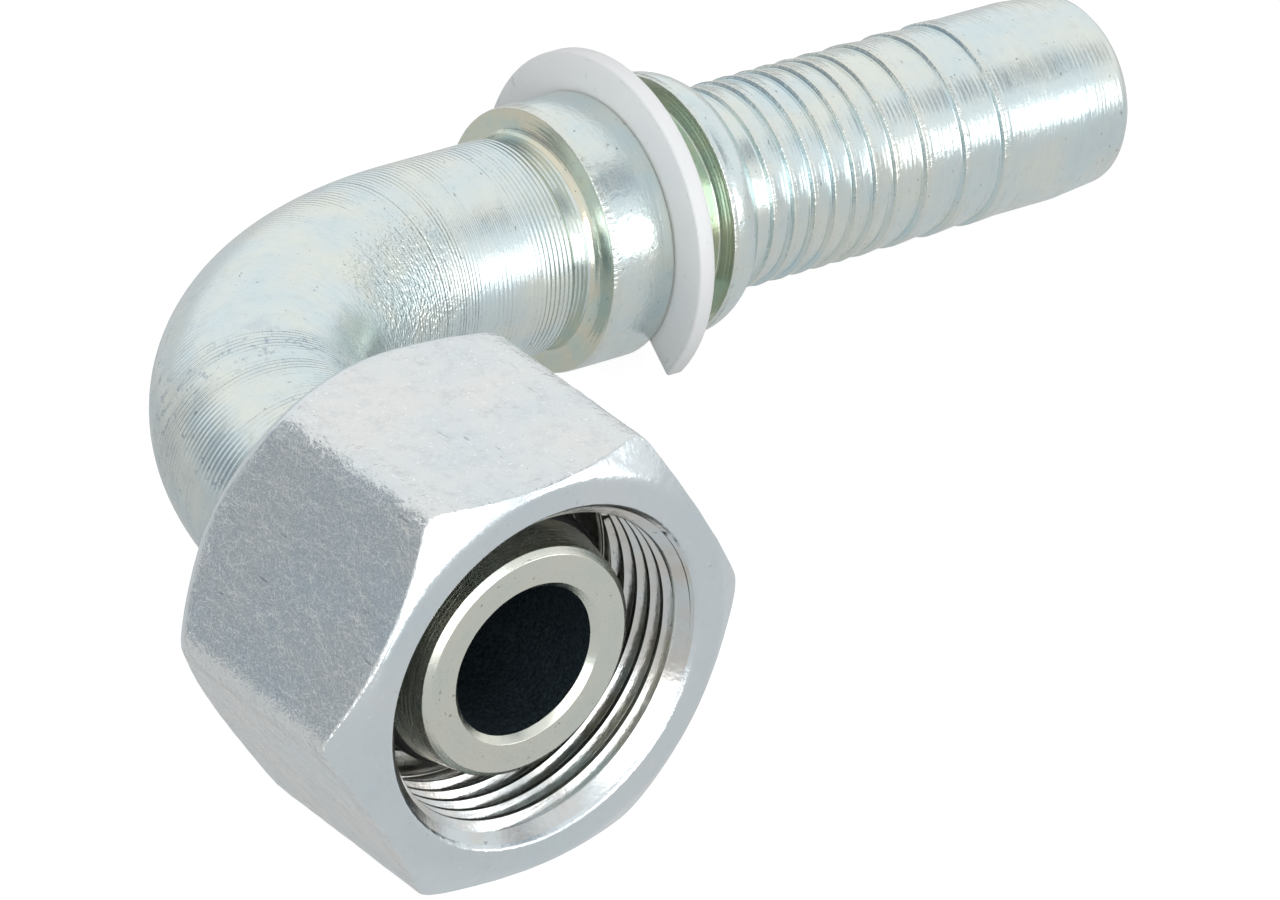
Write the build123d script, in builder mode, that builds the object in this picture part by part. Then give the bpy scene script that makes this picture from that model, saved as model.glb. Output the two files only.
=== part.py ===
from build123d import *
import os
from math import asin, atan2, cos, hypot, pi, radians, sin, tan

# Hydraulic hose fitting: a 90 degree hose insert with a swivel nut on its 24 degree cone nose.
# Millimetres. The origin is the centre of the nose's end face. The nose points along -Y, the
# tail runs towards +X, and the fitting lies on one flat of its nut and on the tip of its tail.

# Flow bore and bent tube
bore_d = 11.7
tube_d = 16.4
bend_radius = 27.0
nose_reach = 49.0
mouth_chamfer = 0.5

# Cone nose with its seal groove and the shoulder that holds the nut
cone_half_angle = 12.0
nose_face_d = 17.8
nose_edge_chamfer = 0.3
cone_length = 7.6
seal_groove_start = 3.5
seal_groove_width = 2.4
seal_groove_d = 16.2
land_length = 1.6
seal_section_d = 2.0
seal_section_sides = 12
seal_seat_gap = 0.02

# Collars and the ferrule groove between them
neck_start = 35.6
neck_depth = 0.2
neck_flare = 0.5
front_collar_start = 37.9
front_collar_length = 5.6
collar_d = 20.1
rear_collar_start = 49.2
rear_collar_rim = 0.4
rear_collar_length = 3.9
groove_d = 16.6
collar_edge_chamfer = 0.15

# Hose tail: fine ribs, then wide ones, then a plain lead-in with a rounded tip
rib_crest_d = 15.7
rib_depth = 0.32
rib_back_width = 0.25
first_rib = 54.7
fine_rib_pitch = 1.95
fine_rib_count = 7
step_to_wide_ribs = 2.95
wide_rib_pitch = 3.75
wide_rib_count = 3
plain_end_d = 15.4
plain_end_start = 79.2
tip_taper_start = 84.8
tip_d = 14.6
tip_chamfer = 0.8
tail_end = 89.9

# Swivel nut
nut_sides = 6
nut_across_flats = 32.0
nut_length = 21.4
nut_overhang = 2.2
nut_corner_radius = 1.2
front_bevel_d = 31.0
front_bevel_angle = 34.0
rear_bevel_d = 30.4
rear_bevel_angle = 44.0
thread_major_d = 26.0
thread_pitch = 1.5
thread_depth_ratio = 0.54125
countersink_d = 27.0
thread_end = 6.4
relief_length = 2.0
relief_d = 26.4
land_clearance = 0.5
seat_play = 0.5
hole_clearance = 0.35
hole_chamfer = 0.5

# Plastic split ring that sits in the ferrule groove against the front collar; the middle of its
# opening is an angle measured downwards from the -Y side
ring_outer_d = 26.0
ring_thickness = 1.4
ring_floor_gap = 0.1
ring_side_gap = 0.1
ring_opening_angle = 84.0
ring_opening_middle_angle = 79.0

# Worked-out sizes
bore_r = bore_d / 2
tube_r = tube_d / 2
nose_face_r = nose_face_d / 2
cone_slope = tan(radians(cone_half_angle))
land_r = nose_face_r + cone_length * cone_slope
land_end = cone_length + land_length
seal_groove_end = seal_groove_start + seal_groove_width
collar_r = collar_d / 2
groove_r = groove_d / 2
front_collar_end = front_collar_start + front_collar_length
rear_collar_end = rear_collar_start + rear_collar_length
crest_r = rib_crest_d / 2
root_r = crest_r - rib_depth
plain_end_r = plain_end_d / 2
tip_r = tip_d / 2
nut_front = -nut_overhang
nut_rear = nut_front + nut_length
thread_minor_r = thread_major_d / 2 - thread_depth_ratio * thread_pitch
countersink_r = countersink_d / 2
nut_hole_r = tube_r + hole_clearance
nut_back_bore_r = land_r + land_clearance

# The tail droops from the nut's axis until its tip is as low as the nut's lower flat
tip_touch = tail_end - tip_chamfer
droop = asin(nut_across_flats / 2 / hypot(tip_touch, tip_r)) - atan2(tip_r, tip_touch)
tail_dir = (cos(droop), 0, -sin(droop))
elbow_up = (sin(droop), 0, cos(droop))
elbow_plane = Plane(origin=(0, 0, 0), x_dir=tail_dir, z_dir=elbow_up)
tail_axis = Axis((0, nose_reach, 0), tail_dir)


def cone_r(depth):
    """Radius of the sealing cone at a depth behind the nose's end face."""
    return nose_face_r + depth * cone_slope


def rib_positions():
    """Crests of the tail's ribs, measured along the tail from the nut's axis."""
    fine = [first_rib + i * fine_rib_pitch for i in range(fine_rib_count)]
    first_wide = fine[-1] + step_to_wide_ribs
    wide = [first_wide + i * wide_rib_pitch for i in range(wide_rib_count)]
    return fine + wide


def rib_outline():
    """Saw-tooth outline: a steep back towards the collar and a ramp towards the tip."""
    points = [(rear_collar_end, root_r)]
    for crest in rib_positions():
        points.append((crest - rib_back_width, root_r))
        points.append((crest, crest_r))
    points.append((plain_end_start, plain_end_r))
    return points


def on_tail(points):
    """Points given along the tail and out from its axis, as points of the elbow's plane."""
    return [(along, nose_reach + out) for along, out in points]


def centre_line(start_depth, end_along):
    """Centre line of the bent bar, from a depth behind the nose's face to a place on the tail."""
    with BuildLine(elbow_plane) as line:
        nose_run = Line((0, start_depth), (0, nose_reach - bend_radius))
        bend = RadiusArc(nose_run @ 1, (bend_radius, nose_reach), bend_radius)
        Line(bend @ 1, (end_along, nose_reach))
    return line.line


tube_line = centre_line(cone_length, neck_start)
bore_line = centre_line(0, tail_end)

# Hose insert: nose, bent tube, collars and tail turned and bent from one bar
with BuildPart() as hose_insert:
    with BuildSketch(Plane(origin=tube_line @ 0, z_dir=tube_line % 0)):
        Circle(tube_r)
    sweep(path=tube_line)

    with BuildSketch(elbow_plane):
        with BuildLine():
            Polyline(
                (0, 0),
                (nose_face_r - nose_edge_chamfer, 0),
                (cone_r(nose_edge_chamfer), nose_edge_chamfer),
                (cone_r(seal_groove_start), seal_groove_start),
                (seal_groove_d / 2, seal_groove_start),
                (seal_groove_d / 2, seal_groove_end),
                (cone_r(seal_groove_end), seal_groove_end),
                (land_r, cone_length),
                (land_r, land_end),
                (tube_r, land_end + land_r - tube_r),
                (0, land_end + land_r - tube_r),
                close=True,
            )
        make_face()
    revolve(axis=Axis.Y)

    with BuildSketch(elbow_plane):
        with BuildLine():
            neck_r = tube_r - neck_depth
            Polyline(
                *on_tail([
                    (neck_start, 0),
                    (neck_start, tube_r),
                    (neck_start + neck_depth, neck_r),
                    (front_collar_start - neck_flare, neck_r),
                    (front_collar_start, neck_r + neck_flare),
                    (front_collar_start, collar_r - collar_edge_chamfer),
                    (front_collar_start + collar_edge_chamfer, collar_r),
                    (front_collar_end, collar_r),
                    (front_collar_end, groove_r),
                    (rear_collar_start, groove_r),
                    (rear_collar_start, collar_r - collar_edge_chamfer),
                    (rear_collar_start + collar_edge_chamfer, collar_r),
                    (rear_collar_start + rear_collar_rim, collar_r),
                ])
            )
            TangentArc(
                *on_tail([
                    (rear_collar_start + rear_collar_rim, collar_r),
                    (rear_collar_end, root_r),
                ]),
                tangent=(1, 0),
            )
            Polyline(
                *on_tail(rib_outline()),
                *on_tail([
                    (tip_taper_start, plain_end_r),
                    (tail_end - tip_chamfer, tip_r),
                    (tail_end, tip_r - tip_chamfer),
                    (tail_end, 0),
                    (neck_start, 0),
                ])
            )
        make_face()
    revolve(axis=tail_axis)

    with BuildSketch(Plane(origin=bore_line @ 0, z_dir=bore_line % 0)):
        Circle(bore_r)
    sweep(path=bore_line, mode=Mode.SUBTRACT)

    nose_mouth = hose_insert.edges().filter_by(GeomType.CIRCLE).group_by(Axis.Y)[0]
    chamfer(nose_mouth.sort_by(SortBy.RADIUS)[0], length=mouth_chamfer)
    tail_mouth = hose_insert.edges().filter_by(GeomType.CIRCLE).group_by(tail_axis)[-1]
    chamfer(tail_mouth.sort_by(SortBy.RADIUS)[0], length=mouth_chamfer)

# Swivel nut: hexagon with both ends bevelled, threaded bore, seat behind the nose's shoulder
with BuildPart() as swivel_nut:
    with BuildSketch(Plane.XZ.offset(-nut_rear)) as hexagon:
        RegularPolygon(nut_across_flats / 2, nut_sides, major_radius=False)
        fillet(hexagon.vertices(), nut_corner_radius)
    extrude(amount=nut_length)

    front_bevel_r = front_bevel_d / 2
    rear_bevel_r = rear_bevel_d / 2
    corner_r = nut_across_flats / 2 / cos(pi / nut_sides)
    front_bevel_length = (corner_r - front_bevel_r) * tan(radians(front_bevel_angle))
    rear_bevel_length = (corner_r - rear_bevel_r) * tan(radians(rear_bevel_angle))
    with BuildSketch():
        with BuildLine():
            Polyline(
                (0, nut_front),
                (front_bevel_r, nut_front),
                (corner_r, nut_front + front_bevel_length),
                (corner_r, nut_rear - rear_bevel_length),
                (rear_bevel_r, nut_rear),
                (0, nut_rear),
                close=True,
            )
        make_face()
    revolve(axis=Axis.Y, mode=Mode.INTERSECT)

    relief_end = thread_end + relief_length
    seat_start = land_end + seat_play + land_r - nut_back_bore_r
    seat_end = land_end + seat_play + land_r - nut_hole_r
    with BuildSketch():
        with BuildLine():
            Polyline(
                (0, nut_front),
                (countersink_r, nut_front),
                (thread_minor_r, nut_front + countersink_r - thread_minor_r),
                (thread_minor_r, thread_end),
                (relief_d / 2, thread_end + relief_d / 2 - thread_minor_r),
                (relief_d / 2, relief_end),
                (nut_back_bore_r, relief_end),
                (nut_back_bore_r, seat_start),
                (nut_hole_r, seat_end),
                (nut_hole_r, nut_rear - hole_chamfer),
                (nut_hole_r + hole_chamfer, nut_rear),
                (0, nut_rear),
                close=True,
            )
        make_face()
    revolve(axis=Axis.Y, mode=Mode.SUBTRACT)

# Rubber seal ring in the nose's groove; its round section is drawn with a few flat sides
with BuildPart() as nose_o_ring:
    seal_centre_r = seal_groove_d / 2 + seal_seat_gap + seal_section_d / 2
    with BuildSketch():
        with Locations((seal_centre_r, seal_groove_start + seal_groove_width / 2)):
            RegularPolygon(seal_section_d / 2, seal_section_sides)
    revolve(axis=Axis.Y)

# Plastic split ring, open at its lower side
with BuildPart() as split_ring:
    ring_front = front_collar_end + ring_side_gap
    ring_plane = Plane(
        origin=elbow_plane.from_local_coords((ring_front, nose_reach, 0)),
        x_dir=(0, -1, 0),
        z_dir=tail_dir,
    )
    with BuildSketch(ring_plane):
        Circle(ring_outer_d / 2)
        Circle(groove_r + ring_floor_gap, mode=Mode.SUBTRACT)
        far_out = []
        for side in (-1, 1):
            angle = radians(ring_opening_middle_angle + side * ring_opening_angle / 2)
            far_out.append((ring_outer_d * cos(angle), ring_outer_d * sin(angle)))
        with BuildLine():
            Polyline((0, 0), far_out[0], far_out[1], close=True)
        make_face(mode=Mode.SUBTRACT)
    extrude(amount=ring_thickness)

hose_insert.part.label = "hose_insert"
swivel_nut.part.label = "swivel_nut"
nose_o_ring.part.label = "nose_o_ring"
split_ring.part.label = "split_ring"

os.makedirs("parts", exist_ok=True)
export_step(hose_insert.part, "parts/hose_insert.step")
export_step(swivel_nut.part, "parts/swivel_nut.step")
export_step(nose_o_ring.part, "parts/nose_o_ring.step")
export_step(split_ring.part, "parts/split_ring.step")
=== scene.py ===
from math import asin, atan2, cos, hypot, pi, radians, sin, tan

import bmesh
import bpy
import numpy as np
from mathutils import Matrix, Vector, noise


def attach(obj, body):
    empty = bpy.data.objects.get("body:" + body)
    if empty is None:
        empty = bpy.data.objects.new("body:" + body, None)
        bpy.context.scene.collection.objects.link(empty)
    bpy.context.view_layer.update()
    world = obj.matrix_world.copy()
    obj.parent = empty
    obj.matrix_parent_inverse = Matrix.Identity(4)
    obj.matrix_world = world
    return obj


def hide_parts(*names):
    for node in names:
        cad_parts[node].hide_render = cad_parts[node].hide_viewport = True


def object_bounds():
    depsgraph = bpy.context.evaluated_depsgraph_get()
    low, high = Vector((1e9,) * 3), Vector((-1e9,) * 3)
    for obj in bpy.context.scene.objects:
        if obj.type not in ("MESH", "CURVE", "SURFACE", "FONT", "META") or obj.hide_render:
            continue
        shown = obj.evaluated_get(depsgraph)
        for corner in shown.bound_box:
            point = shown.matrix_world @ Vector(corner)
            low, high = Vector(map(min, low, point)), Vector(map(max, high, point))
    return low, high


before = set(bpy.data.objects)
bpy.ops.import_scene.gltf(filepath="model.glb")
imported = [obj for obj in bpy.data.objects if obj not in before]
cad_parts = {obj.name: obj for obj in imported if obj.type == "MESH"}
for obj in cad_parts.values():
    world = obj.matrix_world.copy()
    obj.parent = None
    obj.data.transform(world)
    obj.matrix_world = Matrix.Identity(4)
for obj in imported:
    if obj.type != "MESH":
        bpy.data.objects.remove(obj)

# Finished look of a 90 degree hose fitting with a swivel nut. Sizes are in millimetres unless a
# name says otherwise; "along" counts from the nut's axis out towards the tip of the tail.
MM = 0.001
cad_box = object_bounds()

# Bent bar
bore_r = 5.85
tube_r = 8.2
bend_radius = 27.0
nose_reach = 49.0
mouth_chamfer = 0.5

# Cone nose
nose_face_r = 8.9
nose_edge_chamfer = 0.4
cone_slope = tan(radians(12.0))
cone_length = 7.6
seal_groove_start = 3.5
seal_groove_end = 5.9
seal_groove_r = 8.1
land_end = 9.2
seal_section_r = 1.0
seal_centre_r = 9.12

# Collars and ferrule groove
neck_start = 35.6
neck_r = 8.0
neck_cove = 1.6
front_collar_start = 37.9
front_collar_end = 43.5
rear_collar_start = 49.2
rear_collar_rim = 0.4
rear_collar_end = 53.1
collar_r = 10.05
groove_r = 8.3

# Ribbed tail
crest_r = 7.85
root_r = 7.53
rib_back_width = 0.25
first_rib = 54.7
fine_rib_pitch = 1.95
fine_rib_count = 7
step_to_wide_ribs = 2.95
wide_rib_pitch = 3.75
wide_rib_count = 3
plain_end_r = 7.7
plain_end_start = 79.2
tip_taper_start = 84.8
tip_r = 7.3
tip_chamfer = 0.8
tail_end = 89.9

# Swivel nut
nut_sides = 6
nut_flat_r = 16.0
nut_front = -2.2
nut_rear = 19.2
nut_corner_radius = 2.0
front_arc_round = 0.4
rear_arc_round = 1.8
front_arc_margin = 1.2
rear_arc_margin = 1.8
front_bevel_r = 15.5
front_bevel_slope = tan(radians(34.0))
rear_bevel_r = 15.2
rear_bevel_slope = tan(radians(44.0))
countersink_r = 13.5
rim_drop = 0.3
thread_major_r = 13.0
thread_minor_r = 12.188
thread_pitch = 1.5
thread_end = 6.4
relief_end = 8.4
relief_r = 13.2
back_bore_r = 11.015
seat_play = 0.5
nut_hole_r = 8.55
hole_chamfer = 0.5

# Split ring; its opening is measured downwards from the nose's side
ring_outer_r = 13.0
ring_inner_r = 8.4
ring_thickness = 1.4
ring_side_gap = 0.1
ring_opening_start = 37.0
ring_opening_end = 121.0
ring_edge_round = 0.22

# Mesh fineness
bar_columns = 168
bar_step = 0.85
blend_steps = 8
nut_flat_columns = 40
nut_corner_columns = 8
nut_flat_rows = 34
ring_columns = 170
seal_columns = 180
seal_rows = 28
arc_steps = 5
merge_distance = 0.0001
sharp_angle = 50

# Unevenness of the real surfaces, cut inwards from the true form; scales are lumps a millimetre
edge_burr = 0.05
edge_burr_scale = 1.3
forged_lumps = 0.05
forged_lumps_scale = 0.25
forged_edge_lumps = 0.12
forged_edge_lumps_scale = 0.9
forged_start_r = 14.1
forged_full_r = 15.1
corner_wear_start_r = 17.55
corner_wear_full_r = 17.95
corner_wear = 0.8

# Marks of bending, in millimetres from the bend's end back along the bar, or from its start on
crushed_stretch = 20.0
tool_line_back = 4.5
stain_row_on = 12.0
rust_stretch = 14.0
die_line_height = 3.0

# Places worked out from the sizes
nose_straight = nose_reach - bend_radius
bend_gain = nose_straight + bend_radius * pi / 2 - bend_radius
land_r = nose_face_r + cone_length * cone_slope
tip_touch = tail_end - tip_chamfer
droop = asin(nut_flat_r / hypot(tip_touch, tip_r)) - atan2(tip_r, tip_touch)
tail_dir = np.array([cos(droop), 0, -sin(droop)])
nose_dir = np.array([0, 1, 0])
elbow_up = np.array([sin(droop), 0, cos(droop)])


def cone_r(depth):
    """Radius of the sealing cone at a depth behind the nose's face."""
    return nose_face_r + depth * cone_slope


def to_frame(x, y, z):
    """Millimetres along the tail, along the nose and up from the elbow, as metres of the frame."""
    return MM * (x[..., None] * tail_dir + y[..., None] * nose_dir + z[..., None] * elbow_up)


def rounded(corners):
    """Outline through corners (x, y, radius, wear, zone), each corner rounded by its radius.

    Gives rows of x, y, wear and the zone of the stretch that starts there.
    """
    rows = []
    for i, (x, y, radius, wear, zone) in enumerate(corners):
        here = np.array([x, y])
        if radius == 0 or i in (0, len(corners) - 1):
            rows.append((x, y, wear, zone))
            continue
        before = np.array(corners[i - 1][:2]) - here
        after = np.array(corners[i + 1][:2]) - here
        reach = 0.48 * min(np.linalg.norm(before), np.linalg.norm(after))
        before /= np.linalg.norm(before)
        after /= np.linalg.norm(after)
        half_angle = np.arccos(np.clip(before @ after, -1, 1)) / 2
        tangent = min(radius / tan(half_angle), reach)
        start = here + before * tangent
        end = here + after * tangent
        for step in range(arc_steps + 1):
            t = step / arc_steps
            point = (1 - t) ** 2 * start + 2 * t * (1 - t) * here + t ** 2 * end
            rows.append((point[0], point[1], wear, corners[i - 1][4] if step == 0 else zone))
    return rows


def refined(rows, longest):
    """The same outline with long stretches cut into equal steps."""
    out = []
    for (x0, y0, wear0, zone), (x1, y1, _, _) in zip(rows, rows[1:]):
        pieces = max(1, int(np.ceil(hypot(x1 - x0, y1 - y0) / longest)))
        for i in range(pieces):
            t = i / pieces
            wear = wear0 if i == 0 else 0.0
            out.append((x0 + (x1 - x0) * t, y0 + (y1 - y0) * t, wear, zone))
    out.append(rows[-1])
    return out


def unevenness(points, scale):
    """Smooth noise from 0 to 1 at each point, with so many lumps in a millimetre."""
    flat = points.reshape(-1, 3) * scale
    values = [0.5 + 0.5 * noise.noise(Vector(p)) for p in flat]
    return np.clip(np.array(values), 0, 1).reshape(points.shape[:-1])


def make_mesh(name, points, surface, wear, faces, face_zones, zones):
    """A mesh object with its surface coordinates and its edge wear kept for the materials."""
    mesh = bpy.data.meshes.new(name)
    mesh.from_pydata(points.tolist(), [], faces.tolist())
    mesh.attributes.new("surface", "FLOAT_VECTOR", "POINT").data.foreach_set("vector", surface.ravel())
    mesh.attributes.new("wear", "FLOAT", "POINT").data.foreach_set("value", wear.ravel())
    for zone in zones:
        mesh.materials.append(zones[zone])
    order = list(zones)
    mesh.polygons.foreach_set("material_index", [order.index(z) for z in face_zones])
    work = bmesh.new()
    work.from_mesh(mesh)
    bmesh.ops.remove_doubles(work, verts=work.verts, dist=merge_distance * MM)
    bmesh.ops.recalc_face_normals(work, faces=work.faces)
    work.to_mesh(mesh)
    work.free()
    mesh.shade_smooth()
    mesh.set_sharp_from_angle(angle=radians(sharp_angle))
    obj = bpy.data.objects.new(name, mesh)
    bpy.context.scene.collection.objects.link(obj)
    weighted = obj.modifiers.new("even shading", "WEIGHTED_NORMAL")
    weighted.keep_sharp = True
    return obj


def grid_faces(rows, columns, close_rows, close_columns, start=0):
    """Quads of a grid of points, row by row."""
    i = np.arange(rows if close_rows else rows - 1)
    j = np.arange(columns if close_columns else columns - 1)
    i, j = np.meshgrid(i, j, indexing="ij")
    up, over = (i + 1) % rows, (j + 1) % columns
    corners = [i * columns + j, i * columns + over, up * columns + over, up * columns + j]
    return start + np.stack(corners, -1).reshape(-1, 4)


# A wave texture of this scale has one band in each unit of length
wave_scale = 0.314


class Nodes:
    """A node tree, built in a few short calls."""

    def __init__(self, tree):
        self.tree = tree

    def add(self, kind, inputs, **settings):
        made = self.tree.nodes.new(kind)
        for key, value in settings.items():
            setattr(made, key, value)
        for socket, value in inputs.items():
            self.feed(made.inputs[socket], value)
        return made

    def feed(self, socket, value):
        if isinstance(value, bpy.types.NodeSocket):
            self.tree.links.new(value, socket)
        else:
            socket.default_value = value

    def span(self, value, low, high, to_low=0.0, to_high=1.0, smooth=False):
        made = self.add(
            "ShaderNodeMapRange",
            {"Value": value, "From Min": low, "From Max": high, "To Min": to_low, "To Max": to_high},
            interpolation_type="SMOOTHSTEP" if smooth else "LINEAR",
        )
        return made.outputs[0]

    def math(self, operation, a, b):
        return self.add("ShaderNodeMath", {0: a, 1: b}, operation=operation).outputs[0]

    def mix(self, share, a, b, blend="MIX"):
        made = self.add("ShaderNodeMix", {}, data_type="RGBA", blend_type=blend)
        self.feed(made.inputs[0], share)
        self.feed(made.inputs[6], a)
        self.feed(made.inputs[7], b)
        return made.outputs[2]


class Shader(Nodes):
    """A material on the surface coordinates that every piece carries."""

    def __init__(self, name):
        self.material = bpy.data.materials.new(name)
        self.material.use_nodes = True
        super().__init__(self.material.node_tree)
        self.surface = self.tree.nodes["Principled BSDF"]
        self.at = self.add("ShaderNodeAttribute", {}, attribute_name="surface").outputs["Vector"]
        self.wear = self.add("ShaderNodeAttribute", {}, attribute_name="wear").outputs["Fac"]

    def set(self, **inputs):
        for key, value in inputs.items():
            self.feed(self.surface.inputs[key.replace("_", " ")], value)

    def stretched(self, scale, shift=0.0):
        inputs = {"Vector": self.at, "Scale": scale, "Location": (shift,) * 3}
        return self.add("ShaderNodeMapping", inputs).outputs[0]

    def noise(self, scale, detail=2.0, roughness=0.5, shift=0.0):
        inputs = {"Vector": self.stretched(scale, shift), "Scale": 1.0}
        inputs.update({"Detail": detail, "Roughness": roughness})
        return self.add("ShaderNodeTexNoise", inputs).outputs["Fac"]

    def unroll(self):
        """Counts the first coordinate along the turned outline, so that it runs across faces too."""
        along, side, up = self.add("ShaderNodeSeparateXYZ", {0: self.at}).outputs
        self.along, self.side, self.up = along, side, up
        across = self.add("ShaderNodeVectorMath", {0: self.at, 1: (0, 1, 1)}, operation="MULTIPLY")
        length = self.add("ShaderNodeVectorMath", {0: across.outputs[0]}, operation="LENGTH")
        self.radius = length.outputs[1]
        inputs = {0: self.math("ADD", along, self.radius), 1: side, 2: up}
        self.at = self.add("ShaderNodeCombineXYZ", inputs).outputs[0]

    def feed_marks(self, pitch):
        """Lines round the axis, one for each step of the cutting tool."""
        inputs = {"Vector": self.stretched((1.0, 0.1, 0.1)), "Scale": wave_scale / pitch}
        inputs.update({"Distortion": 1.4, "Detail": 3.0, "Detail Scale": 1.2, "Detail Roughness": 0.6})
        return self.add("ShaderNodeTexWave", inputs, bands_direction="X").outputs["Fac"]

    def bump(self, height, depth_mm, under=None):
        inputs = {"Height": height, "Distance": depth_mm * MM, "Strength": 1.0}
        if under is not None:
            inputs["Normal"] = under
        return self.add("ShaderNodeBump", inputs).outputs[0]


def colour(red, green, blue):
    """A linear colour from the values of a screen colour, 0 to 255."""
    def linear(v):
        v = v / 255
        return v / 12.92 if v <= 0.04045 else ((v + 0.055) / 1.055) ** 2.4
    return (linear(red), linear(green), linear(blue), 1.0)


def turned_steel(name, cool, warm, roughness=0.22, pitch=0.4, feed=0.01, lines=0.03, fineness=3.0,
                 grain=0.015, edge=None, chatter=0.0, bent=False):
    """Zinc-plated turned steel: tool lines round the axis, slow tints, small pits and worn edges.

    Feed, lines, grain and chatter are the depths in millimetres of the even tool lines, the uneven
    ones, the crystals of the plating and the dents on worn edges; fineness is in lines a millimetre.
    """
    sh = Shader(name)
    sh.unroll()
    marks = sh.feed_marks(pitch)
    uneven = sh.noise((fineness, 0.05, 0.05), 3.0, 0.6)
    dashes = sh.noise((fineness * 1.3, 0.6, 0.6), 3.0, 0.6, shift=13.0)
    broad = sh.noise((0.5, 0.1, 0.1), 2.0, 0.5, shift=7.0)
    cloud = sh.noise((0.16, 0.2, 0.2), 3.0, 0.6, shift=3.0)
    mottle = sh.noise((1.1, 0.9, 0.9), 4.0, 0.7, shift=11.0)
    crystals = sh.noise((2.6, 2.2, 2.2), 3.0, 0.6, shift=5.0)
    pit = sh.noise((2.4, 1.6, 1.6), 2.0, 0.5, shift=23.0)

    tone = sh.mix(sh.span(cloud, 0.38, 0.62), cool, warm)
    tone = sh.mix(sh.span(uneven, 0.35, 0.65, 0.1, 0.0), tone, (0.72, 0.78, 0.80, 1), "MULTIPLY")
    tone = sh.mix(sh.span(mottle, 0.54, 0.74, 0.0, 0.25), tone, (0.74, 0.72, 0.72, 1), "MULTIPLY")
    tone = sh.mix(sh.span(pit, 0.70, 0.75, 0.0, 0.5), tone, (0.16, 0.15, 0.14, 1), "MULTIPLY")
    tone = sh.mix(sh.math("MULTIPLY", sh.wear, 0.3), tone, edge or warm)
    rough = sh.span(mottle, 0.3, 0.7, roughness - 0.05, roughness + 0.07)

    depth = sh.span(broad, 0.35, 0.65, 0.4, 1.0)
    if bent:
        nose_third = nose_straight + bend_radius * radians(24)
        tail_third = nose_straight + bend_radius * radians(62)
        near_nose = sh.span(sh.along, nose_third + 7, nose_third, smooth=True)
        near_tail = sh.span(sh.along, tail_third - 3, tail_third + 8, smooth=True)
        on_lines = sh.span(sh.math("MAXIMUM", near_nose, near_tail), 0, 1, 0.12, 1)
        depth = sh.math("MULTIPLY", depth, on_lines)
    normal = sh.bump(sh.math("MULTIPLY", marks, depth), feed)
    normal = sh.bump(sh.math("MULTIPLY", uneven, depth), lines, normal)
    normal = sh.bump(sh.math("MULTIPLY", dashes, depth), lines * 0.5, normal)
    normal = sh.bump(crystals, grain, normal)
    if chatter:
        dents = sh.noise((0.5, 1.8, 1.8), 3.0, 0.7, shift=31.0)
        normal = sh.bump(sh.math("MULTIPLY", dents, sh.wear), chatter, normal)
    if bent:
        tone, normal = bend_marks(sh, tone, normal)
    sh.set(Base_Color=tone, Metallic=1.0, Roughness=rough, Normal=normal)
    return sh.material


def bend_marks(sh, tone, normal):
    """Marks of bending: crushed skin inside the bend, a tool line, a die line with a darker band under
    it (part mark, part painted shade), stains and rust.
    """
    bend_end = nose_straight + bend_radius * pi / 2
    inner = sh.span(sh.side, -1.0, -tube_r * 0.6, smooth=True)
    crushed_start = bend_end - crushed_stretch
    coming = sh.span(sh.along, crushed_start, crushed_start + 6, smooth=True)
    going = sh.span(sh.along, bend_end + 1, bend_end - 8, smooth=True)
    crushed = sh.math("MULTIPLY", sh.math("MULTIPLY", inner, coming), going)
    peel = sh.noise((2.4, 2.4, 2.4), 2.0, 0.5, shift=41.0)
    normal = sh.bump(sh.math("MULTIPLY", peel, crushed), 0.2, normal)
    off_line = sh.math("ABSOLUTE", sh.math("SUBTRACT", sh.along, bend_end - tool_line_back), 0.0)
    normal = sh.bump(sh.span(off_line, 0.02, 0.16), 0.05, normal)

    patch = sh.noise((0.35, 0.3, 0.3), 5.0, 0.75, shift=51.0)
    on_bend = sh.span(sh.along, bend_end, nose_straight + 4)
    stain = sh.math("MULTIPLY", sh.span(patch, 0.55, 0.68), on_bend)
    tone = sh.mix(sh.math("MULTIPLY", stain, 0.3), tone, (0.34, 0.43, 0.52, 1))
    spot = sh.noise((1.4, 1.2, 1.2), 4.0, 0.75, shift=71.0)
    off_row = sh.math("ABSOLUTE", sh.math("SUBTRACT", sh.along, nose_straight + stain_row_on), 0.0)
    row = sh.span(off_row, 3.0, 0.5)
    outer = sh.span(sh.side, 2.0, 5.0, smooth=True)
    off_die = sh.math("ABSOLUTE", sh.math("SUBTRACT", sh.up, die_line_height), 0.0)
    die_line = sh.span(off_die, 1.6, 0.2)
    row = sh.math("MAXIMUM", row, sh.math("MULTIPLY", die_line, outer))
    dots = sh.math("MULTIPLY", sh.span(spot, 0.56, 0.62), row)
    tone = sh.mix(sh.math("MULTIPLY", dots, 0.6), tone, (0.22, 0.30, 0.40, 1))
    # darker under the die line on the bar's outer side: partly the die's mark, partly painted shade
    die_band_and_painted_shade = sh.math("MULTIPLY", sh.span(sh.up, die_line_height, die_line_height / 2, smooth=True), outer)
    tone = sh.mix(sh.math("MULTIPLY", die_band_and_painted_shade, 0.45), tone, (0.62, 0.66, 0.70, 1), "MULTIPLY")
    rust = sh.span(sh.noise((0.9, 0.6, 0.6), 4.0, 0.8, shift=61.0), 0.6, 0.7)
    near_nut = sh.span(sh.along, nose_straight + rust_stretch, nose_straight + 2, smooth=True)
    rust = sh.math("MULTIPLY", rust, near_nut)
    tone = sh.mix(sh.math("MULTIPLY", rust, 0.35), tone, (0.36, 0.27, 0.20, 1))
    return tone, normal


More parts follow.
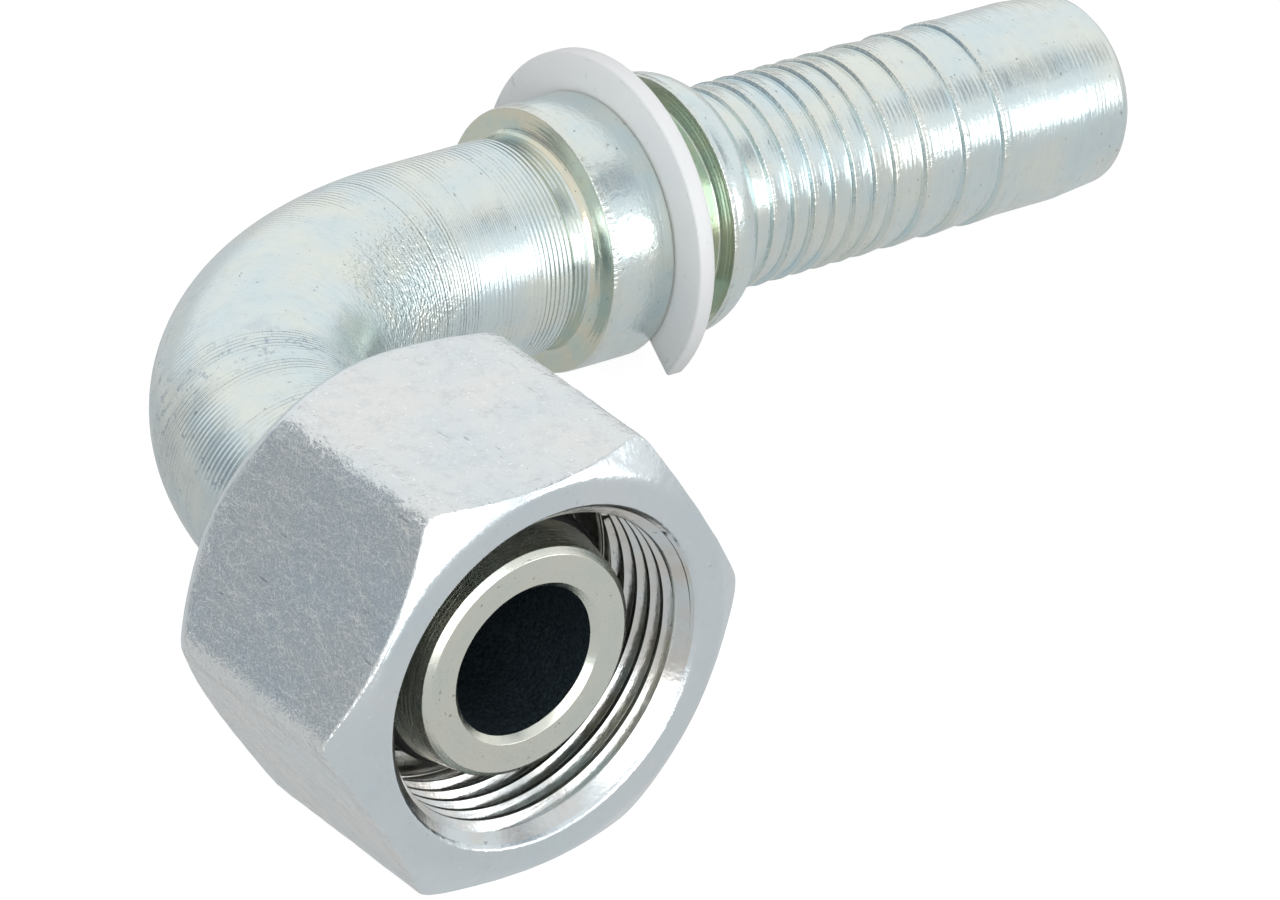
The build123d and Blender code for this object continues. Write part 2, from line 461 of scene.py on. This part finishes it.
def forged_steel(name, cool, warm, roughness=0.2, lump=0.3, crystal=0.05, frost=0.3, scratches=0.6,
                 chatter=0.25):
    """Zinc-plated forged steel: a lumpy satin skin with bright specks and a few dark scratches."""
    sh = Shader(name)
    cloud = sh.noise((0.12, 0.12, 0.12), 3.0, 0.6, shift=2.0)
    mottle = sh.noise((0.7, 0.7, 0.7), 5.0, 0.75, shift=9.0)
    lumps = sh.noise((0.45, 0.45, 0.45), 6.0, 0.62, shift=4.0)
    crystals = sh.noise((2.6, 2.6, 2.6), 3.0, 0.6, shift=6.0)
    specks = sh.noise((2.8, 2.8, 2.8), 2.0, 0.6, shift=27.0)
    scratch = sh.noise((1.0, 0.9, 0.9), 5.0, 0.8, shift=17.0)
    streak = sh.noise((0.3, 2.0, 2.2), 3.0, 0.45, shift=19.0)
    dents = sh.noise((1.3, 1.3, 1.3), 3.0, 0.6, shift=37.0)

    tone = sh.mix(sh.span(cloud, 0.38, 0.62), cool, warm)
    tone = sh.mix(sh.span(mottle, 0.5, 0.7, 0.0, frost), tone, (0.62, 0.64, 0.70, 1), "MULTIPLY")
    tone = sh.mix(sh.span(specks, 0.66, 0.70, 0.0, frost * 2), tone, (0.93, 0.96, 1.0, 1))
    marks = sh.math("MAXIMUM", sh.span(scratch, 0.66, 0.71), sh.span(streak, 0.71, 0.75))
    tone = sh.mix(sh.math("MULTIPLY", marks, scratches), tone, (0.36, 0.36, 0.36, 1), "MULTIPLY")
    tone = sh.mix(sh.math("MULTIPLY", sh.wear, 0.3), tone, warm)
    rough = sh.span(mottle, 0.35, 0.7, roughness - 0.05, roughness + 0.08)
    normal = sh.bump(lumps, lump)
    normal = sh.bump(crystals, crystal, normal)
    normal = sh.bump(sh.math("MULTIPLY", dents, sh.wear), chatter, normal)
    sh.set(Base_Color=tone, Metallic=1.0, Roughness=rough, Normal=normal)
    return sh.material


def bore_painted_shade():
    """Wall of the flow bore painted near-black, as painted shade of the deep bore, with faint drilling
    marks.
    """
    sh = Shader("bore_painted_shade_wall")
    marks = sh.noise((1.6, 0.5, 0.5), 3.0, 0.6)
    dust = sh.noise((4.0, 4.0, 4.0), 3.0, 0.7, shift=3.0)
    # near-black colours: painted shade for the darkness deep inside the bore
    tone = sh.mix(sh.span(dust, 0.4, 0.75), (0.012, 0.022, 0.03, 1), (0.06, 0.085, 0.095, 1))
    sh.set(Base_Color=tone, Metallic=0.5, Roughness=sh.span(marks, 0.3, 0.7, 0.4, 0.55))
    sh.set(Normal=sh.bump(marks, 0.08))
    return sh.material


def seal_rubber():
    """Black rubber with a faint bloom."""
    sh = Shader("seal_rubber")
    bloom = sh.noise((0.5, 0.5, 0.5), 3.0, 0.6)
    grain = sh.noise((7.0, 7.0, 7.0), 2.0, 0.5)
    tone = sh.mix(sh.span(bloom, 0.35, 0.7), (0.006, 0.006, 0.007, 1), (0.02, 0.02, 0.022, 1))
    sh.set(Base_Color=tone, Roughness=sh.span(bloom, 0.3, 0.7, 0.4, 0.55))
    sh.set(Normal=sh.bump(grain, 0.01))
    return sh.material


def milky_plastic():
    """Milky plastic that lets a little light through, with scuffs and a broken scored line."""
    sh = Shader("milky_plastic")
    cloud = sh.noise((0.25, 0.25, 0.25), 3.0, 0.5)
    scuff = sh.noise((2.5, 0.8, 0.8), 3.0, 0.7, shift=4.0)
    speck = sh.noise((2.4, 1.4, 1.4), 2.0, 0.5, shift=14.0)
    dashes = sh.noise((0.5, 0.9, 0.9), 2.0, 0.8, shift=24.0)
    sh.unroll()
    off_line = sh.math("ABSOLUTE", sh.math("SUBTRACT", sh.radius, ring_outer_r - 0.3), 0.0)
    scored = sh.math("MULTIPLY", sh.span(off_line, 0.07, 0.02), sh.span(dashes, 0.56, 0.6))
    tone = sh.mix(sh.span(cloud, 0.35, 0.65), colour(226, 229, 231), colour(233, 235, 236))
    tone = sh.mix(sh.span(speck, 0.70, 0.74, 0.0, 0.45), tone, (0.25, 0.24, 0.24, 1), "MULTIPLY")
    tone = sh.mix(sh.math("MULTIPLY", scored, 0.55), tone, (0.35, 0.36, 0.37, 1), "MULTIPLY")
    tone = sh.mix(sh.math("MULTIPLY", sh.wear, 0.8), tone, colour(240, 242, 243))
    sh.set(Base_Color=tone, Roughness=sh.span(scuff, 0.3, 0.7, 0.3, 0.45))
    sh.set(Subsurface_Weight=0.5, Subsurface_Radius=(1.0, 0.98, 0.97), Subsurface_Scale=0.002)
    sh.set(Normal=sh.bump(scuff, 0.03))
    return sh.material


# Finishes
pale_cool = colour(212, 226, 229)
pale_warm = colour(224, 230, 224)
edge_tint = colour(224, 220, 204)
finishes = {
    "end_face": turned_steel("end_face", colour(208, 214, 206), colour(216, 217, 207), 0.24, feed=0.0,
                             lines=0.012, grain=0.008),
    "cone": turned_steel("cone", colour(196, 202, 192), colour(206, 206, 192), lines=0.03),
    "tube": turned_steel("tube", pale_cool, pale_warm, 0.24, feed=0.05, lines=0.015, bent=True),
    "neck": turned_steel("neck", colour(208, 222, 225), colour(216, 224, 220), 0.18, lines=0.01),
    "annulus": turned_steel("annulus", colour(200, 214, 206), colour(220, 216, 196), 0.16, lines=0.02),
    "collar": turned_steel("collar", pale_cool, pale_warm, 0.22, feed=0.0, lines=0.015, grain=0.03,
                           edge=edge_tint, chatter=0.15),
    "groove": turned_steel("groove", colour(194, 210, 196), colour(208, 212, 192), 0.18, lines=0.01),
    "rib_back": turned_steel("rib_back", colour(200, 220, 226), colour(214, 222, 218), 0.18, lines=0.01,
                             edge=edge_tint, chatter=0.12),
    "ribs": turned_steel("ribs", pale_cool, pale_warm, 0.18, lines=0.045, fineness=4.5, edge=edge_tint,
                         chatter=0.12),
    "plain_end": turned_steel("plain_end", pale_cool, pale_warm, 0.2, lines=0.06, fineness=4.5),
    # the bore's near-black finish is painted shade
    "bore": bore_painted_shade(),
    "nut_flats": forged_steel("nut_flats", colour(216, 224, 227), colour(224, 227, 226)),
    "nut_face": forged_steel("nut_face", colour(212, 222, 227), colour(218, 225, 228), 0.2, 0.08, 0.01,
                             0.1, 0.2, 0.1),
    "thread": turned_steel("thread", colour(204, 211, 214), colour(204, 201, 195), 0.18, lines=0.04,
                           edge=colour(224, 224, 220)),
    "seal_rubber": seal_rubber(),
    "milky_plastic": milky_plastic(),
}


def rib_crests():
    fine = [first_rib + i * fine_rib_pitch for i in range(fine_rib_count)]
    first_wide = fine[-1] + step_to_wide_ribs
    return fine + [first_wide + i * wide_rib_pitch for i in range(wide_rib_count)]


def insert_outline():
    """Closed half section of the straightened insert: outside from nose to tail, then the bore."""
    def tail(along, r, radius=0.0, wear=0.0, zone="ribs"):
        return (along + bend_gain, r, radius, wear, zone)

    corners = [
        (0, bore_r + mouth_chamfer, 0.08, 0.8, "end_face"),
        (0, nose_face_r - nose_edge_chamfer, 0.15, 0.7, "end_face"),
        (nose_edge_chamfer, cone_r(nose_edge_chamfer), 0.15, 0.4, "cone"),
        (seal_groove_start, cone_r(seal_groove_start), 0.1, 0.3, "cone"),
        (seal_groove_start, seal_groove_r, 0.15, 0, "cone"),
        (seal_groove_end, seal_groove_r, 0.15, 0, "cone"),
        (seal_groove_end, cone_r(seal_groove_end), 0.1, 0.3, "cone"),
        (cone_length, land_r, 0.2, 0.3, "cone"),
        (land_end, land_r, 0.2, 0.3, "tube"),
        (land_end + land_r - tube_r, tube_r, 0.6, 0, "tube"),
        tail(neck_start, tube_r, 0.12, 0.2, "neck"),
        tail(neck_start + tube_r - neck_r, neck_r, 0.2, 0, "neck"),
        tail(front_collar_start, neck_r, neck_cove, 0, "annulus"),
        tail(front_collar_start, collar_r, 0.12, 1.0, "collar"),
        tail(front_collar_end, collar_r, 0.1, 0.6, "groove"),
        tail(front_collar_end, groove_r, 0.25, 0, "groove"),
        tail(rear_collar_start, groove_r, 0.25, 0, "groove"),
        tail(rear_collar_start, collar_r, 0.12, 1.0, "collar"),
    ]
    blend_start = rear_collar_start + rear_collar_rim
    blend_length = rear_collar_end - blend_start
    drop = collar_r - root_r
    blend_radius = (blend_length ** 2 + drop ** 2) / (2 * drop)
    for i in range(blend_steps):
        x = blend_length * i / blend_steps
        fall = blend_radius - (blend_radius ** 2 - x ** 2) ** 0.5
        corners.append(tail(blend_start + x, collar_r - fall, 0, 0, "collar"))
    corners.append(tail(rear_collar_end, root_r, 0.15, 0, "ribs"))
    for crest in rib_crests():
        corners.append(tail(crest - rib_back_width, root_r, 0.1, 0, "rib_back"))
        corners.append(tail(crest, crest_r, 0.07, 1.0, "ribs"))
    corners += [
        tail(plain_end_start, plain_end_r, 0.3, 0, "plain_end"),
        tail(tip_taper_start, plain_end_r, 2.5, 0, "plain_end"),
        tail(tail_end - tip_chamfer, tip_r, 0.9, 0.1, "plain_end"),
        tail(tail_end, tip_r - tip_chamfer, 0.3, 0.2, "end_face"),
        tail(tail_end, bore_r + mouth_chamfer, 0.06, 0.6, "end_face"),
        tail(tail_end - mouth_chamfer, bore_r, 0.1, 0.3, "bore"),
        (mouth_chamfer, bore_r, 0.1, 0.5, "end_face"),
    ]
    rows = rounded([corners[-1], *corners, corners[0]])[1:-1]
    return refined(rows + rows[:1], bar_step)[:-1]


def hose_insert():
    """The bent bar: its turned outline swept round the nose, the bend and the tail."""
    rows = insert_outline()
    angle = np.linspace(0, 2 * pi, bar_columns, endpoint=False)[None, :]
    s, r, wear = (np.array([row[k] for row in rows])[:, None] + 0 * angle for k in range(3))
    flat = np.stack([s, r * np.cos(angle), r * np.sin(angle)], -1)
    r = r - edge_burr * wear * unevenness(flat, edge_burr_scale)
    bend = np.clip((s - nose_straight) / bend_radius, 0, pi / 2)
    after = np.maximum(s - nose_straight - bend_radius * pi / 2, 0)
    side = r * np.cos(angle)
    x = bend_radius * (1 - np.cos(bend)) + after - np.cos(bend) * side
    y = np.minimum(s, nose_straight) + bend_radius * np.sin(bend) + np.sin(bend) * side
    z = r * np.sin(angle)
    points = to_frame(x, y, z).reshape(-1, 3)
    faces = grid_faces(len(rows), bar_columns, True, True)
    face_zones = [row[3] for row in rows for _ in range(bar_columns)]
    zones = {zone: finishes[zone] for zone in dict.fromkeys(row[3] for row in rows)}
    return make_mesh("insert_body", points, flat, wear, faces, face_zones, zones)


def nut_columns():
    """Angles round the nut and the hexagon's radius at each, with closer steps at its corners."""
    centre = (nut_flat_r - nut_corner_radius) / cos(pi / nut_sides)
    flat_half = (nut_flat_r - nut_corner_radius) * tan(pi / nut_sides)
    edge = atan2(flat_half, nut_flat_r)
    half = pi / nut_sides
    angles, radii = [], []
    for flat in range(nut_sides):
        middle = pi / 2 + flat * 2 * half
        for i in range(nut_flat_columns):
            a = atan2(flat_half * (2 * i / nut_flat_columns - 1), nut_flat_r)
            angles.append(middle + a)
            radii.append(nut_flat_r / cos(a))
        for i in range(nut_corner_columns):
            off = (half - edge) * (2 * i / nut_corner_columns - 1)
            angles.append(middle + half + off)
            radii.append(centre * cos(off) + (nut_corner_radius ** 2 - (centre * sin(off)) ** 2) ** 0.5)
    return np.array(angles), np.array(radii)


def thread_form():
    """One pitch of the internal thread as (share of the pitch, radius, wear)."""
    crest = thread_pitch / 8
    root = thread_pitch / 16
    middle = thread_pitch / 2
    corners = [
        (-middle, thread_major_r, 0, 0, ""),
        (-middle + root, thread_major_r, 0.08, 0, ""),
        (-crest, thread_minor_r, 0.06, 0.8, ""),
        (crest, thread_minor_r, 0.06, 0.8, ""),
        (middle - root, thread_major_r, 0.08, 0, ""),
        (middle, thread_major_r, 0, 0, ""),
    ]
    return [(x / thread_pitch, r, wear) for x, r, wear, _ in rounded(corners)][:-1]


def swivel_nut():
    """Forged hexagon nut with soft bevelled ends and a helical thread behind its countersink."""
    angles, hexagon = nut_columns()
    count = len(angles)
    thread_stop = thread_end + relief_r - thread_minor_r
    seat_start = land_end + seat_play + land_r - back_bore_r
    seat_end = land_end + seat_play + land_r - nut_hole_r
    columns = []
    for radius in hexagon:
        front_arc = nut_front + (radius - front_bevel_r) * front_bevel_slope
        rear_arc = nut_rear - (radius - rear_bevel_r) * rear_bevel_slope
        corners = [
            (countersink_r - rim_drop, nut_front + rim_drop, 0, 0, "nut_face"),
            (countersink_r, nut_front, 0.45, 0.6, "nut_face"),
            (front_bevel_r, nut_front, 2.2, 0, "nut_face"),
            (radius, front_arc, front_arc_round, 0.5, "nut_flats"),
        ]
        flat_start = front_arc + front_arc_margin
        flat_length = rear_arc - rear_arc_margin - flat_start
        for i in range(nut_flat_rows + 1):
            y = flat_start + flat_length * i / nut_flat_rows
            corners.append((radius, y, 0, 0, "nut_flats"))
        corners += [
            (radius, rear_arc, rear_arc_round, 0.5, "nut_face"),
            (rear_bevel_r, nut_rear, 1.2, 0, "nut_face"),
            (nut_hole_r + hole_chamfer, nut_rear, 0.2, 0.4, "nut_face"),
            (nut_hole_r, nut_rear - hole_chamfer, 0.2, 0.2, "thread"),
            (nut_hole_r, seat_end, 0.2, 0, "thread"),
            (back_bore_r, seat_start, 0.2, 0, "thread"),
            (back_bore_r, relief_end, 0.15, 0.2, "thread"),
            (relief_r, relief_end, 0.3, 0, "thread"),
            (relief_r, thread_stop, 0, 0, "thread"),
        ]
        columns.append(rounded(corners))
    r = np.array([[row[0] for row in column] for column in columns]).T
    y = np.array([[row[1] for row in column] for column in columns]).T
    wear = np.array([[row[2] for row in column] for column in columns]).T
    row_zones = [row[3] for row in columns[0]]
    body = np.stack([r * np.cos(angles), y, r * np.sin(angles)], -1)
    outside = np.interp(r, (forged_start_r, forged_full_r), (0, 1))
    on_corner = np.interp(hexagon, (corner_wear_start_r, corner_wear_full_r), (0, corner_wear))
    on_flats = (np.array(row_zones) == "nut_flats")[:, None]
    wear = np.maximum(wear, on_corner * on_flats)
    lumps = forged_lumps * unevenness(body, forged_lumps_scale)
    lumps += forged_edge_lumps * wear * unevenness(body, forged_edge_lumps_scale)
    r = r - outside * lumps
    body = np.stack([r * np.cos(angles), y, r * np.sin(angles)], -1)
    faces = [grid_faces(len(r), count, False, True)]
    face_zones = [zone for zone in row_zones[:-1] for _ in range(count)]

    form = thread_form()
    turns = int(np.ceil((thread_stop - nut_front) / thread_pitch)) + 2
    around = np.append(angles, angles[0] + 2 * pi)
    share = (around - angles[0]) / (2 * pi)
    thread_rows, thread_wear = [], []
    first, last = nut_front + rim_drop, thread_stop
    for turn in range(-1, turns):
        for phase, radius, worn in form:
            depth = nut_front + (turn + phase + share) * thread_pitch
            depth = np.clip(depth, first, last)
            mouth = countersink_r - (depth - nut_front)
            run_out = thread_minor_r + (depth - thread_end)
            reach = np.maximum(radius, np.maximum(mouth, np.minimum(run_out, relief_r)))
            thread_rows.append(np.stack([reach * np.cos(around), depth, reach * np.sin(around)], -1))
            thread_wear.append(np.where(reach > radius + 1e-6, 0.0, worn))
    thread = np.array(thread_rows)
    faces.append(grid_faces(len(thread), count + 1, False, False, start=body.shape[0] * count))
    face_zones += ["thread"] * len(faces[1])

    points = np.concatenate([body.reshape(-1, 3), thread.reshape(-1, 3)])
    surface = points[:, [1, 0, 2]]
    worn = np.concatenate([wear.ravel(), np.array(thread_wear).ravel()])
    zones = {zone: finishes[zone] for zone in ("nut_face", "nut_flats", "thread")}
    return make_mesh("nut_body", points * MM, surface, worn, np.concatenate(faces), face_zones, zones)


def nose_o_ring():
    """Round rubber ring in the nose's groove."""
    section = np.linspace(0, 2 * pi, seal_rows, endpoint=False)[:, None]
    angle = np.linspace(0, 2 * pi, seal_columns, endpoint=False)[None, :]
    r = seal_centre_r + seal_section_r * np.cos(section) + 0 * angle
    y = (seal_groove_start + seal_groove_end) / 2 + seal_section_r * np.sin(section) + 0 * angle
    x, z = r * np.cos(angle), r * np.sin(angle)
    points = to_frame(x, y, z).reshape(-1, 3)
    surface = np.stack([y, x, z], -1)
    faces = grid_faces(seal_rows, seal_columns, True, True)
    zones = {"seal": finishes["seal_rubber"]}
    return make_mesh("o_ring", points, surface, 0 * r, faces, ["seal"] * len(faces), zones)


def split_ring():
    """Open plastic ring with softened edges and ends."""
    front = front_collar_end + ring_side_gap
    middle_r = (ring_outer_r + ring_inner_r) / 2
    half_height = (ring_outer_r - ring_inner_r) / 2
    half_width = ring_thickness / 2
    corners = [(half_width, 0), (half_width, half_height), (-half_width, half_height),
               (-half_width, -half_height), (half_width, -half_height), (half_width, 0)]
    outline = [
        (x, y, ring_edge_round if abs(y) > 0 else 0, 0.7 if abs(y) > 0 else 0, "")
        for x, y in corners
    ]
    section = rounded(outline)[:-1]
    across = np.array([row[0] for row in section])
    out = np.array([row[1] for row in section])
    worn = np.array([row[2] for row in section])
    start = radians(ring_opening_end)
    stop = radians(ring_opening_start + 360)
    soft = ring_edge_round
    turn = np.linspace(0, pi / 2, arc_steps + 1)
    angles = [(start + soft * (1 - cos(t)) / middle_r, soft * (1 - sin(t))) for t in turn]
    inner = np.linspace(start + soft / middle_r, stop - soft / middle_r, ring_columns)[1:-1]
    angles += [(a, 0.0) for a in inner]
    angles += [(stop - soft * (1 - sin(t)) / middle_r, soft * (1 - cos(t))) for t in turn]
    grid, surface, wear = [], [], []
    for a, inset in angles:
        w = across * (half_width - inset) / half_width
        h = out * (half_height - inset) / half_height
        r = middle_r + h
        x = front + half_width + w
        y = nose_reach - r * cos(a)
        z = -r * sin(a)
        grid.append(to_frame(x, y, z))
        surface.append(np.stack([x, r * cos(a) + 0 * x, r * sin(a)], -1))
        wear.append(worn)
    points = np.array(grid).reshape(-1, 3)
    faces = grid_faces(len(angles), len(section), False, True)
    zones = {"plastic": finishes["milky_plastic"]}
    ring = make_mesh("plastic_ring", points, np.array(surface), np.array(wear), faces,
                     ["plastic"] * len(faces), zones)
    work = bmesh.new()
    work.from_mesh(ring.data)
    bmesh.ops.holes_fill(work, edges=[e for e in work.edges if e.is_boundary], sides=0)
    bmesh.ops.recalc_face_normals(work, faces=work.faces)
    work.to_mesh(ring.data)
    work.free()
    return ring


def dress(piece, node, body):
    """Puts a finished piece in its CAD node's place."""
    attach(piece, body)
    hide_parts(node)


dress(hose_insert(), "hose_insert", "insert")
dress(swivel_nut(), "swivel_nut", "nut")
dress(nose_o_ring(), "nose_o_ring", "insert")
dress(split_ring(), "split_ring", "insert")


# Floor, light and camera
floor_z = cad_box[0].z
floor_size = 6.0
camera_azimuth = -38.66
camera_elevation = 32.68
camera_roll = radians(1.58)
camera_distance = 1.0062
camera_lens = 393.8
camera_aim = Vector((27.776, 22.93, -4.686)) * MM
shade_light = 0.7
floor_grey = 0.3
floor_seen = 0.86
floor_mirrored = 0.44

# Duller parts of the surroundings that the metal mirrors: azimuth and elevation in degrees, the
# angles where the dullness is full and where it ends, and its colour
dull_zones = {
    "back left": (-132, 11, 10, 40, (0.33, 0.37, 0.41, 1)),
    "high right": (62, 43, 4, 17, (0.42, 0.45, 0.48, 1)),
}

# Lamps: azimuth and elevation in degrees, distance, width and height in metres, radiance
soft_boxes = {
    "right_light": (38, 8, 1.2, 0.5, 0.42, 2.8),
    "left_light": (-22, 20, 1.2, 1.55, 0.9, 1.9),
}


def direction(azimuth, elevation):
    """Unit vector towards a point of the surroundings; azimuth 0 lies in front of the nose."""
    a, e = radians(azimuth), radians(elevation)
    return Vector((sin(a) * cos(e), -cos(a) * cos(e), sin(e)))


def make_floor():
    """Pale floor that looks white where nothing shades it and keeps a light shadow."""
    mesh = bpy.data.meshes.new("floor")
    half = floor_size / 2
    corners = [(-half, -half, 0), (half, -half, 0), (half, half, 0), (-half, half, 0)]
    mesh.from_pydata(corners, [], [(0, 1, 2, 3)])
    floor = bpy.data.objects.new("floor", mesh)
    floor.location.z = floor_z
    bpy.context.scene.collection.objects.link(floor)
    material = bpy.data.materials.new("pale_floor")
    material.use_nodes = True
    material.node_tree.nodes.clear()
    nodes = Nodes(material.node_tree)
    rays = nodes.add("ShaderNodeLightPath", {}).outputs
    seen = nodes.math("ADD", rays["Is Camera Ray"], rays["Is Transmission Ray"])
    seen = nodes.math("MULTIPLY", seen, floor_seen)
    mirrored = nodes.math("MULTIPLY", rays["Is Glossy Ray"], floor_mirrored)
    diffuse = nodes.add("ShaderNodeBsdfDiffuse", {"Color": (*(floor_grey,) * 3, 1)}).outputs[0]
    strength = nodes.math("ADD", seen, mirrored)
    glow = nodes.add("ShaderNodeEmission", {"Color": (1, 1, 1, 1), "Strength": strength}).outputs[0]
    both = nodes.add("ShaderNodeAddShader", {0: diffuse, 1: glow}).outputs[0]
    nodes.add("ShaderNodeOutputMaterial", {"Surface": both})
    mesh.materials.append(material)


def make_world():
    """White surroundings; duller zones give the metal something darker to mirror."""
    world = bpy.data.worlds.new("studio")
    bpy.context.scene.world = world
    world.use_nodes = True
    world.node_tree.nodes.clear()
    nodes = Nodes(world.node_tree)
    looking = nodes.add("ShaderNodeTexCoord", {}).outputs["Generated"]
    mirrored = (1, 1, 1, 1)
    for azimuth, elevation, full, end, dull in dull_zones.values():
        inputs = {0: looking, 1: direction(azimuth, elevation)}
        near = nodes.add("ShaderNodeVectorMath", inputs, operation="DOT_PRODUCT").outputs["Value"]
        share = nodes.span(near, cos(radians(end)), cos(radians(full)), smooth=True)
        mirrored = nodes.mix(share, mirrored, dull, "MULTIPLY")
    rays = nodes.add("ShaderNodeLightPath", {}).outputs
    seen = nodes.math("MAXIMUM", rays["Is Camera Ray"], rays["Is Transmission Ray"])
    around = nodes.mix(seen, (*(shade_light,) * 3, 1), (1, 1, 1, 1))
    around = nodes.mix(rays["Is Glossy Ray"], around, mirrored)
    background = nodes.add("ShaderNodeBackground", {"Color": around}).outputs[0]
    nodes.add("ShaderNodeOutputWorld", {"Surface": background})


def soft_box(name, azimuth, elevation, distance, width, height, radiance):
    """A rectangular lamp that faces the object; radiance is how bright it looks in a mirror."""
    light = bpy.data.lights.new(name, "AREA")
    light.shape = "RECTANGLE"
    light.size = width
    light.size_y = height
    light.energy = radiance * pi * width * height
    lamp = bpy.data.objects.new(name, light)
    bpy.context.scene.collection.objects.link(lamp)
    out = direction(azimuth, elevation)
    lamp.location = camera_aim + out * distance
    lamp.rotation_euler = out.to_track_quat("Z", "Y").to_euler()


def make_camera():
    data = bpy.data.cameras.new("view")
    data.sensor_width = 36.0
    data.lens = camera_lens
    data.clip_end = 20.0
    camera = bpy.data.objects.new("view", data)
    bpy.context.scene.collection.objects.link(camera)
    back = direction(camera_azimuth, camera_elevation)
    right = Vector((0, 0, 1)).cross(back).normalized()
    up = back.cross(right)
    turned_right = cos(camera_roll) * right + sin(camera_roll) * up
    turned_up = cos(camera_roll) * up - sin(camera_roll) * right
    place = Matrix((turned_right, turned_up, back)).transposed().to_4x4()
    place.translation = camera_aim + back * camera_distance
    camera.matrix_world = place
    bpy.context.scene.camera = camera


make_floor()
make_world()
for name, place in soft_boxes.items():
    soft_box(name, *place)
make_camera()
bpy.context.scene.view_settings.view_transform = "Standard"
